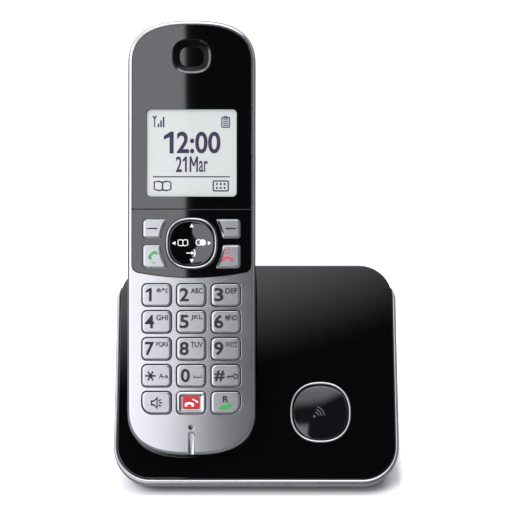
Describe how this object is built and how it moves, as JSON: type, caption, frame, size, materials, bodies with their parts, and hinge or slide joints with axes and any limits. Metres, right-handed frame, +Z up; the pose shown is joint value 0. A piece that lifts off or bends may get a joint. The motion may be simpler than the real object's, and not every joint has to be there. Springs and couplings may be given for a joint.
{
  "type": "cordless phone",
  "caption": "Cordless telephone handset with display and keypad, standing in the cradle of a wedge-shaped charging base with a locator button.",
  "frame": {"origin": "on the desk, under the middle of the whole object's box", "axes": "+X to the user's right, +Y to the back, away from the user, +Z up"},
  "size_m": [0.1078, 0.0919, 0.1645],
  "materials": {
    "case_silver": "pearl silver lacquer on moulded plastic, satin",
    "trim_silver": "pearl silver lacquer, satin",
    "ring_silver": "bright plated plastic",
    "panel_black": "polished piano black",
    "base_black": "polished piano black",
    "button_black": "polished black",
    "rear_black": "fine moulded texture",
    "housing_black": "fine moulded texture",
    "key_silver": "light silver lacquer with black printed legends",
    "inner_plastic": "plain moulded",
    "keypad_rubber": "moulded silicone",
    "foot_rubber": "moulded rubber",
    "circuit_board": "green solder mask",
    "display_glass": "reflective liquid crystal display, lit",
    "contact_metal": "nickel plated",
    "cell_sleeve": "printed shrink sleeve"
  },
  "bodies": {
    "base": {"base_front_cover": "base_black", "base_trim_frame": "trim_silver", "locator_ring": "ring_silver", "base_rear_housing": "housing_black", "base_board": "circuit_board", "line_jack": "housing_black", "power_jack": "housing_black", "foot_front_left": "foot_rubber", "foot_rear_left": "foot_rubber", "foot_front_right": "foot_rubber", "foot_rear_right": "foot_rubber", "base_screw_left": "contact_metal", "base_screw_right": "contact_metal"},
    "handset": {"front_case": "case_silver", "display_window": "panel_black", "navigation_panel": "panel_black", "nav_ring": "ring_silver", "keypad_mat": "keypad_rubber", "main_board": "circuit_board", "display_module": "display_glass", "earpiece_speaker": "inner_plastic", "microphone": "contact_metal", "loudspeaker": "inner_plastic", "rear_case": "rear_black", "battery_left": "cell_sleeve", "battery_right": "cell_sleeve", "battery_contact_top": "contact_metal", "battery_contact_bottom": "contact_metal", "charge_terminal_left": "contact_metal", "charge_terminal_right": "contact_metal", "case_screw_left": "contact_metal", "case_screw_right": "contact_metal"},
    "battery_cover": {"battery_cover": "rear_black"},
    "nav_rocker": {"nav_rocker": "inner_plastic"},
    "nav_key": {"nav_key": "button_black"},
    "locator_button": {"locator_button": "button_black"},
    "charge_contact_left": {"charge_contact_left": "contact_metal"},
    "charge_contact_right": {"charge_contact_right": "contact_metal"},
    "key_1": {"key_1": "key_silver"},
    "key_2": {"key_2": "key_silver"},
    "key_3": {"key_3": "key_silver"},
    "key_4": {"key_4": "key_silver"},
    "key_5": {"key_5": "key_silver"},
    "key_6": {"key_6": "key_silver"},
    "key_7": {"key_7": "key_silver"},
    "key_8": {"key_8": "key_silver"},
    "key_9": {"key_9": "key_silver"},
    "key_star": {"key_star": "key_silver"},
    "key_0": {"key_0": "key_silver"},
    "key_hash": {"key_hash": "key_silver"},
    "speaker_key": {"speaker_key": "key_silver"},
    "call_block_key": {"call_block_key": "key_silver"},
    "recall_key": {"recall_key": "key_silver"},
    "soft_key_left": {"soft_key_left": "key_silver"},
    "soft_key_right": {"soft_key_right": "key_silver"},
    "talk_key": {"talk_key": "key_silver"},
    "off_key": {"off_key": "key_silver"}
  },
  "joints": [
    {"name": "handset_lift", "type": "slide", "parent": "base", "child": "handset", "axis": [0, 0.4226, 0.9063], "range_m": [0, 0.09]},
    {"name": "battery_cover_slide", "type": "slide", "parent": "handset", "child": "battery_cover", "axis": [0, 0.4226, 0.9063], "range_m": [0, 0.006]},
    {"name": "nav_tilt_up_down", "type": "hinge", "parent": "handset", "child": "nav_rocker", "pos_m": [-0.0243, -0.00985, 0.08853], "axis": [1, 0, 0], "range_deg": [-3, 3], "stiffness_Nm_per_rad": 0.05},
    {"name": "nav_tilt_left_right", "type": "hinge", "parent": "nav_rocker", "child": "nav_key", "pos_m": [-0.0243, -0.00985, 0.08853], "axis": [0, 0.4226, 0.9063], "range_deg": [-3, 3], "stiffness_Nm_per_rad": 0.05},
    {"name": "key_1_press", "type": "slide", "parent": "handset", "child": "key_1", "axis": [0, 0.9063, -0.4226], "range_m": [0, 0.0006], "stiffness_N_per_m": 1500},
    {"name": "key_2_press", "type": "slide", "parent": "handset", "child": "key_2", "axis": [0, 0.9063, -0.4226], "range_m": [0, 0.0006], "stiffness_N_per_m": 1500},
    {"name": "key_3_press", "type": "slide", "parent": "handset", "child": "key_3", "axis": [0, 0.9063, -0.4226], "range_m": [0, 0.0006], "stiffness_N_per_m": 1500},
    {"name": "key_4_press", "type": "slide", "parent": "handset", "child": "key_4", "axis": [0, 0.9063, -0.4226], "range_m": [0, 0.0006], "stiffness_N_per_m": 1500},
    {"name": "key_5_press", "type": "slide", "parent": "handset", "child": "key_5", "axis": [0, 0.9063, -0.4226], "range_m": [0, 0.0006], "stiffness_N_per_m": 1500},
    {"name": "key_6_press", "type": "slide", "parent": "handset", "child": "key_6", "axis": [0, 0.9063, -0.4226], "range_m": [0, 0.0006], "stiffness_N_per_m": 1500},
    {"name": "key_7_press", "type": "slide", "parent": "handset", "child": "key_7", "axis": [0, 0.9063, -0.4226], "range_m": [0, 0.0006], "stiffness_N_per_m": 1500},
    {"name": "key_8_press", "type": "slide", "parent": "handset", "child": "key_8", "axis": [0, 0.9063, -0.4226], "range_m": [0, 0.0006], "stiffness_N_per_m": 1500},
    {"name": "key_9_press", "type": "slide", "parent": "handset", "child": "key_9", "axis": [0, 0.9063, -0.4226], "range_m": [0, 0.0006], "stiffness_N_per_m": 1500},
    {"name": "key_star_press", "type": "slide", "parent": "handset", "child": "key_star", "axis": [0, 0.9063, -0.4226], "range_m": [0, 0.0006], "stiffness_N_per_m": 1500},
    {"name": "key_0_press", "type": "slide", "parent": "handset", "child": "key_0", "axis": [0, 0.9063, -0.4226], "range_m": [0, 0.0006], "stiffness_N_per_m": 1500},
    {"name": "key_hash_press", "type": "slide", "parent": "handset", "child": "key_hash", "axis": [0, 0.9063, -0.4226], "range_m": [0, 0.0006], "stiffness_N_per_m": 1500},
    {"name": "speaker_key_press", "type": "slide", "parent": "handset", "child": "speaker_key", "axis": [0, 0.9063, -0.4226], "range_m": [0, 0.0006], "stiffness_N_per_m": 1500},
    {"name": "call_block_key_press", "type": "slide", "parent": "handset", "child": "call_block_key", "axis": [0, 0.9063, -0.4226], "range_m": [0, 0.0006], "stiffness_N_per_m": 1500},
    {"name": "recall_key_press", "type": "slide", "parent": "handset", "child": "recall_key", "axis": [0, 0.9063, -0.4226], "range_m": [0, 0.0006], "stiffness_N_per_m": 1500},
    {"name": "soft_key_left_press", "type": "slide", "parent": "handset", "child": "soft_key_left", "axis": [0, 0.9063, -0.4226], "range_m": [0, 0.0006], "stiffness_N_per_m": 1500},
    {"name": "soft_key_right_press", "type": "slide", "parent": "handset", "child": "soft_key_right", "axis": [0, 0.9063, -0.4226], "range_m": [0, 0.0006], "stiffness_N_per_m": 1500},
    {"name": "talk_key_press", "type": "slide", "parent": "handset", "child": "talk_key", "axis": [0, 0.9063, -0.4226], "range_m": [0, 0.0006], "stiffness_N_per_m": 1500},
    {"name": "off_key_press", "type": "slide", "parent": "handset", "child": "off_key", "axis": [0, 0.9063, -0.4226], "range_m": [0, 0.0006], "stiffness_N_per_m": 1500},
    {"name": "locator_button_press", "type": "slide", "parent": "base", "child": "locator_button", "axis": [0, 0.788, -0.6157], "range_m": [0, 0.0008], "stiffness_N_per_m": 1200},
    {"name": "charge_contact_left_press", "type": "slide", "parent": "base", "child": "charge_contact_left", "axis": [0, -0.4226, -0.9063], "range_m": [0, 0.0008], "stiffness_N_per_m": 400},
    {"name": "charge_contact_right_press", "type": "slide", "parent": "base", "child": "charge_contact_right", "axis": [0, -0.4226, -0.9063], "range_m": [0, 0.0008], "stiffness_N_per_m": 400}
  ]
}
